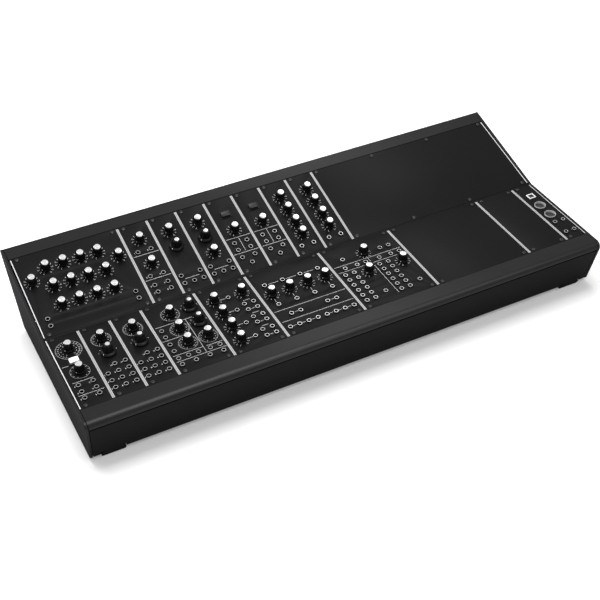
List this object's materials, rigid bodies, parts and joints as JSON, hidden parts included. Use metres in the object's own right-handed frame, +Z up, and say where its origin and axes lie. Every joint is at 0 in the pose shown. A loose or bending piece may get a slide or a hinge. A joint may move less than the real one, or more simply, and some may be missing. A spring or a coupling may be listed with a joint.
{
  "type": "modular synthesizer",
  "caption": "Modular synthesizer: two rows of patch-socket modules with fluted knobs in a low black desktop case, the rear row tilted up.",
  "frame": {"origin": "centre of the bounding box's base, on the table under the case", "axes": "+X along the rows to the player's right, +Y to the rear, +Z up"},
  "size_m": [0.7238, 0.3018, 0.1113],
  "materials": {
    "case_metal": "satin black powder coat",
    "pan_steel": "fine textured black powder coat",
    "rail_aluminium": "extruded, black anodised",
    "board": "green solder mask",
    "foot_rubber": "moulded, matte",
    "white_rocker": "moulded",
    "black_rocker": "moulded",
    "knob_plastic": "fluted, with a white metal cap",
    "panel_aluminium": "matt black powder coat, printed pale grey"
  },
  "bodies": {
    "case": {"bottom_pan": "pan_steel", "front_lip": "case_metal", "rear_strip": "case_metal", "centre_rail": "rail_aluminium", "left_cheek": "case_metal", "right_cheek": "case_metal", "power_board": "board", "front_left_foot": "foot_rubber", "front_right_foot": "foot_rubber", "rear_left_foot": "foot_rubber", "rear_right_foot": "foot_rubber", "oscillator_driver_module": "panel_aluminium", "oscillator_1_module": "panel_aluminium", "oscillator_2_module": "panel_aluminium", "tone_generator_module": "panel_aluminium", "mixer_module": "panel_aluminium", "attenuator_module": "panel_aluminium", "console_module": "panel_aluminium", "long_blank_panel": "panel_aluminium", "short_blank_panel": "panel_aluminium", "interface_module": "panel_aluminium", "filter_bank_module": "panel_aluminium", "noise_filter_module": "panel_aluminium", "high_pass_module": "panel_aluminium", "low_pass_module": "panel_aluminium", "amplifier_1_module": "panel_aluminium", "amplifier_2_module": "panel_aluminium", "envelope_1_module": "panel_aluminium", "envelope_2_module": "panel_aluminium", "wide_blank_panel": "panel_aluminium"},
    "oscillator_driver_knob_1": {"oscillator_driver_knob_1": "knob_plastic"},
    "oscillator_driver_knob_2": {"oscillator_driver_knob_2": "knob_plastic"},
    "oscillator_driver_rocker": {"oscillator_driver_rocker": "white_rocker"},
    "oscillator_1_knob": {"oscillator_1_knob": "knob_plastic"},
    "oscillator_1_selector": {"oscillator_1_selector": "knob_plastic"},
    "oscillator_2_knob": {"oscillator_2_knob": "knob_plastic"},
    "oscillator_2_selector": {"oscillator_2_selector": "knob_plastic"},
    "tone_generator_knob_1": {"tone_generator_knob_1": "knob_plastic"},
    "tone_generator_knob_2": {"tone_generator_knob_2": "knob_plastic"},
    "tone_generator_knob_3": {"tone_generator_knob_3": "knob_plastic"},
    "tone_generator_knob_4": {"tone_generator_knob_4": "knob_plastic"},
    "tone_generator_selector_1": {"tone_generator_selector_1": "knob_plastic"},
    "tone_generator_selector_2": {"tone_generator_selector_2": "knob_plastic"},
    "mixer_knob_1": {"mixer_knob_1": "knob_plastic"},
    "mixer_knob_2": {"mixer_knob_2": "knob_plastic"},
    "mixer_knob_3": {"mixer_knob_3": "knob_plastic"},
    "mixer_knob_4": {"mixer_knob_4": "knob_plastic"},
    "mixer_knob_5": {"mixer_knob_5": "knob_plastic"},
    "console_knob_1": {"console_knob_1": "knob_plastic"},
    "console_knob_2": {"console_knob_2": "knob_plastic"},
    "console_knob_3": {"console_knob_3": "knob_plastic"},
    "noise_filter_knob_1": {"noise_filter_knob_1": "knob_plastic"},
    "noise_filter_knob_2": {"noise_filter_knob_2": "knob_plastic"},
    "high_pass_knob": {"high_pass_knob": "knob_plastic"},
    "high_pass_selector": {"high_pass_selector": "knob_plastic"},
    "low_pass_knob_1": {"low_pass_knob_1": "knob_plastic"},
    "low_pass_knob_2": {"low_pass_knob_2": "knob_plastic"},
    "low_pass_selector": {"low_pass_selector": "knob_plastic"},
    "amplifier_1_knob": {"amplifier_1_knob": "knob_plastic"},
    "amplifier_1_rocker": {"amplifier_1_rocker": "black_rocker"}
  },
  "joints": [
    {"name": "oscillator_driver_knob_1_turn", "type": "hinge", "parent": "case", "child": "oscillator_driver_knob_1", "pos_m": [-0.33528, -0.02403, 0.071], "axis": [0, 0, 1], "range_deg": [-272, 28]},
    {"name": "oscillator_driver_knob_2_turn", "type": "hinge", "parent": "case", "child": "oscillator_driver_knob_2", "pos_m": [-0.33528, -0.06476, 0.071], "axis": [0, 0, 1], "range_deg": [-272, 28]},
    {"name": "oscillator_driver_rocker_tilt", "type": "hinge", "parent": "case", "child": "oscillator_driver_rocker", "pos_m": [-0.33569, -0.04536, 0.07], "axis": [1, 0, 0], "range_deg": [-14, 0]},
    {"name": "oscillator_1_knob_turn", "type": "hinge", "parent": "case", "child": "oscillator_1_knob", "pos_m": [-0.29464, -0.0239, 0.071], "axis": [0, 0, 1], "range_deg": [-272, 28]},
    {"name": "oscillator_1_selector_turn", "type": "hinge", "parent": "case", "child": "oscillator_1_selector", "pos_m": [-0.29464, -0.04998, 0.071], "axis": [0, 0, 1], "range_deg": [-75, 75]},
    {"name": "oscillator_2_knob_turn", "type": "hinge", "parent": "case", "child": "oscillator_2_knob", "pos_m": [-0.254, -0.0239, 0.071], "axis": [0, 0, 1], "range_deg": [-272, 28]},
    {"name": "oscillator_2_selector_turn", "type": "hinge", "parent": "case", "child": "oscillator_2_selector", "pos_m": [-0.254, -0.04998, 0.071], "axis": [0, 0, 1], "range_deg": [-75, 75]},
    {"name": "tone_generator_knob_1_turn", "type": "hinge", "parent": "case", "child": "tone_generator_knob_1", "pos_m": [-0.20381, -0.02056, 0.071], "axis": [0, 0, 1], "range_deg": [-272, 28]},
    {"name": "tone_generator_knob_2_turn", "type": "hinge", "parent": "case", "child": "tone_generator_knob_2", "pos_m": [-0.20381, -0.05075, 0.071], "axis": [0, 0, 1], "range_deg": [-272, 28]},
    {"name": "tone_generator_knob_3_turn", "type": "hinge", "parent": "case", "child": "tone_generator_knob_3", "pos_m": [-0.20381, -0.0771, 0.071], "axis": [0, 0, 1], "range_deg": [-272, 28]},
    {"name": "tone_generator_knob_4_turn", "type": "hinge", "parent": "case", "child": "tone_generator_knob_4", "pos_m": [-0.17742, -0.07697, 0.071], "axis": [0, 0, 1], "range_deg": [-272, 28]},
    {"name": "tone_generator_selector_1_turn", "type": "hinge", "parent": "case", "child": "tone_generator_selector_1", "pos_m": [-0.17728, -0.01966, 0.071], "axis": [0, 0, 1], "range_deg": [-75, 75]},
    {"name": "tone_generator_selector_2_turn", "type": "hinge", "parent": "case", "child": "tone_generator_selector_2", "pos_m": [-0.17728, -0.04947, 0.071], "axis": [0, 0, 1], "range_deg": [-75, 75]},
    {"name": "mixer_knob_1_turn", "type": "hinge", "parent": "case", "child": "mixer_knob_1", "pos_m": [-0.14563, -0.0239, 0.071], "axis": [0, 0, 1], "range_deg": [-272, 28]},
    {"name": "mixer_knob_2_turn", "type": "hinge", "parent": "case", "child": "mixer_knob_2", "pos_m": [-0.14563, -0.0505, 0.071], "axis": [0, 0, 1], "range_deg": [-272, 28]},
    {"name": "mixer_knob_3_turn", "type": "hinge", "parent": "case", "child": "mixer_knob_3", "pos_m": [-0.14563, -0.07671, 0.071], "axis": [0, 0, 1], "range_deg": [-272, 28]},
    {"name": "mixer_knob_4_turn", "type": "hinge", "parent": "case", "child": "mixer_knob_4", "pos_m": [-0.14563, -0.10305, 0.071], "axis": [0, 0, 1], "range_deg": [-272, 28]},
    {"name": "mixer_knob_5_turn", "type": "hinge", "parent": "case", "child": "mixer_knob_5", "pos_m": [-0.10787, -0.0239, 0.071], "axis": [0, 0, 1], "range_deg": [-272, 28]},
    {"name": "console_knob_1_turn", "type": "hinge", "parent": "case", "child": "console_knob_1", "pos_m": [0.06869, -0.02403, 0.071], "axis": [0, 0, 1], "range_deg": [-272, 28]},
    {"name": "console_knob_2_turn", "type": "hinge", "parent": "case", "child": "console_knob_2", "pos_m": [0.05567, -0.06116, 0.071], "axis": [0, 0, 1], "range_deg": [-272, 28]},
    {"name": "console_knob_3_turn", "type": "hinge", "parent": "case", "child": "console_knob_3", "pos_m": [0.10624, -0.06116, 0.071], "axis": [0, 0, 1], "range_deg": [-272, 28]},
    {"name": "noise_filter_knob_1_turn", "type": "hinge", "parent": "case", "child": "noise_filter_knob_1", "pos_m": [-0.19304, 0.10375, 0.09744], "axis": [0, -0.2571, 0.9664], "range_deg": [-272, 28]},
    {"name": "noise_filter_knob_2_turn", "type": "hinge", "parent": "case", "child": "noise_filter_knob_2", "pos_m": [-0.19304, 0.06401, 0.08687], "axis": [0, -0.2571, 0.9664], "range_deg": [-272, 28]},
    {"name": "high_pass_knob_turn", "type": "hinge", "parent": "case", "child": "high_pass_knob", "pos_m": [-0.1524, 0.10375, 0.09744], "axis": [0, -0.2571, 0.9664], "range_deg": [-272, 28]},
    {"name": "high_pass_selector_turn", "type": "hinge", "parent": "case", "child": "high_pass_selector", "pos_m": [-0.1524, 0.07854, 0.09073], "axis": [0, -0.2571, 0.9664], "range_deg": [-75, 75]},
    {"name": "low_pass_knob_1_turn", "type": "hinge", "parent": "case", "child": "low_pass_knob_1", "pos_m": [-0.11176, 0.10375, 0.09744], "axis": [0, -0.2571, 0.9664], "range_deg": [-272, 28]},
    {"name": "low_pass_knob_2_turn", "type": "hinge", "parent": "case", "child": "low_pass_knob_2", "pos_m": [-0.11176, 0.05221, 0.08373], "axis": [0, -0.2571, 0.9664], "range_deg": [-272, 28]},
    {"name": "low_pass_selector_turn", "type": "hinge", "parent": "case", "child": "low_pass_selector", "pos_m": [-0.11176, 0.07866, 0.09077], "axis": [0, -0.2571, 0.9664], "range_deg": [-75, 75]},
    {"name": "amplifier_1_knob_turn", "type": "hinge", "parent": "case", "child": "amplifier_1_knob", "pos_m": [-0.07112, 0.07605, 0.09007], "axis": [0, -0.2571, 0.9664], "range_deg": [-272, 28]},
    {"name": "amplifier_1_rocker_tilt", "type": "hinge", "parent": "case", "child": "amplifier_1_rocker", "pos_m": [-0.07153, 0.10363, 0.09638], "axis": [1, 0, 0], "range_deg": [-14, 0]}
  ]
}
